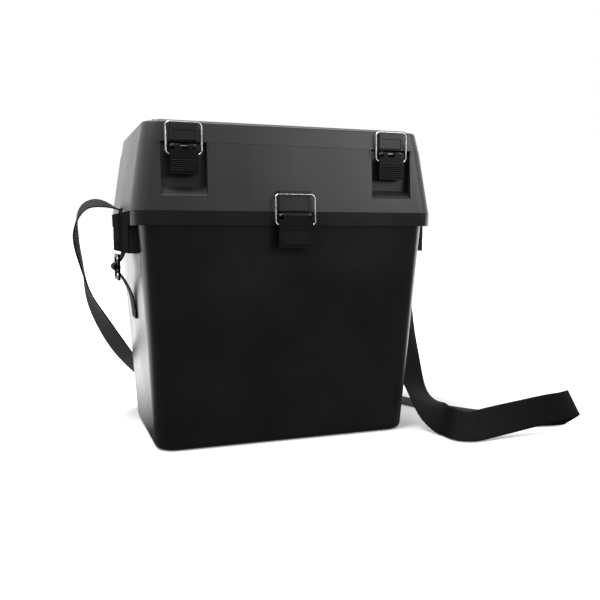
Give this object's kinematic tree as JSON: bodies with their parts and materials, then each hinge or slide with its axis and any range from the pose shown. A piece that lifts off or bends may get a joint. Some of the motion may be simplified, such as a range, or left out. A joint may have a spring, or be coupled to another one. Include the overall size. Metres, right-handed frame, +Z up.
{
  "type": "fishing seat box",
  "caption": "Tapered plastic seat box with a deep tackle lid, a hinged seat cap, wire-bail latches, a lift-out tray and a webbing shoulder strap.",
  "frame": {"origin": "middle of the box's own footprint, on the ground that it stands on", "axes": "+X to the box's right seen from its front, +Y towards the hinges at the back, +Z up"},
  "size_m": [0.6556, 0.3891, 0.4],
  "materials": {
    "tub_shell": "black moulded polypropylene, satin",
    "lid_shell": "charcoal moulded polypropylene, fine spark texture",
    "tray": "dark grey moulded polypropylene",
    "latch_nylon": "black moulded nylon",
    "wire": "bright drawn and plated steel wire",
    "pin": "plain drawn steel pin",
    "webbing": "black woven polypropylene webbing, 40 mm wide"
  },
  "bodies": {
    "tub": {"tub": "tub_shell", "lid_hinge_pin_left": "pin", "lid_hinge_pin_right": "pin", "centre_lever_pin": "pin", "strap": "webbing", "strap_end_left": "webbing", "strap_end_right": "webbing", "slider_left": "latch_nylon", "slider_right": "latch_nylon"},
    "lid": {"lid": "lid_shell", "lid_divider_long": "tray", "lid_divider_left": "tray", "lid_divider_middle": "tray", "lid_divider_right": "tray", "cap_hinge_pin_left": "pin", "cap_hinge_pin_right": "pin", "left_lever_pin": "pin", "right_lever_pin": "pin"},
    "cap": {"cap": "lid_shell"},
    "inner_tray": {"inner_tray": "tray", "tray_partition": "tray"},
    "centre_lever": {"centre_lever": "latch_nylon"},
    "centre_bail": {"centre_bail": "wire"},
    "left_lever": {"left_lever": "latch_nylon"},
    "left_bail": {"left_bail": "wire"},
    "right_lever": {"right_lever": "latch_nylon"},
    "right_bail": {"right_bail": "wire"}
  },
  "joints": [
    {"name": "lid_hinge", "type": "hinge", "parent": "tub", "child": "lid", "pos_m": [0, 0.128, 0.2925], "axis": [-1, 0, 0], "range_deg": [0, 100]},
    {"name": "cap_hinge", "type": "hinge", "parent": "lid", "child": "cap", "pos_m": [0, 0.1205, 0.3726], "axis": [-1, 0, 0], "range_deg": [0, 100]},
    {"name": "tray_lift", "type": "slide", "parent": "tub", "child": "inner_tray", "axis": [0, 0, 1], "range_m": [0, 0.015]},
    {"name": "centre_lever_hinge", "type": "hinge", "parent": "tub", "child": "centre_lever", "pos_m": [0, -0.129, 0.288], "axis": [-1, 0, 0], "range_deg": [0, 120]},
    {"name": "centre_bail_hinge", "type": "hinge", "parent": "centre_lever", "child": "centre_bail", "pos_m": [0, -0.13, 0.2766], "axis": [-1, 0, 0], "range_deg": [-180, 0]},
    {"name": "left_lever_hinge", "type": "hinge", "parent": "lid", "child": "left_lever", "pos_m": [-0.134, -0.115, 0.368], "axis": [-1, 0, 0], "range_deg": [0, 105]},
    {"name": "left_bail_hinge", "type": "hinge", "parent": "left_lever", "child": "left_bail", "pos_m": [-0.134, -0.1176, 0.358], "axis": [-1, 0, 0], "range_deg": [-157.5, 0]},
    {"name": "right_lever_hinge", "type": "hinge", "parent": "lid", "child": "right_lever", "pos_m": [0.134, -0.115, 0.368], "axis": [-1, 0, 0], "range_deg": [0, 105]},
    {"name": "right_bail_hinge", "type": "hinge", "parent": "right_lever", "child": "right_bail", "pos_m": [0.134, -0.1176, 0.358], "axis": [-1, 0, 0], "range_deg": [-157.5, 0]}
  ],
  "couplings": [
    {"joint": "centre_bail_hinge", "follows": "centre_lever_hinge", "ratio": -1.5},
    {"joint": "left_bail_hinge", "follows": "left_lever_hinge", "ratio": -1.5},
    {"joint": "right_bail_hinge", "follows": "right_lever_hinge", "ratio": -1.5}
  ]
}
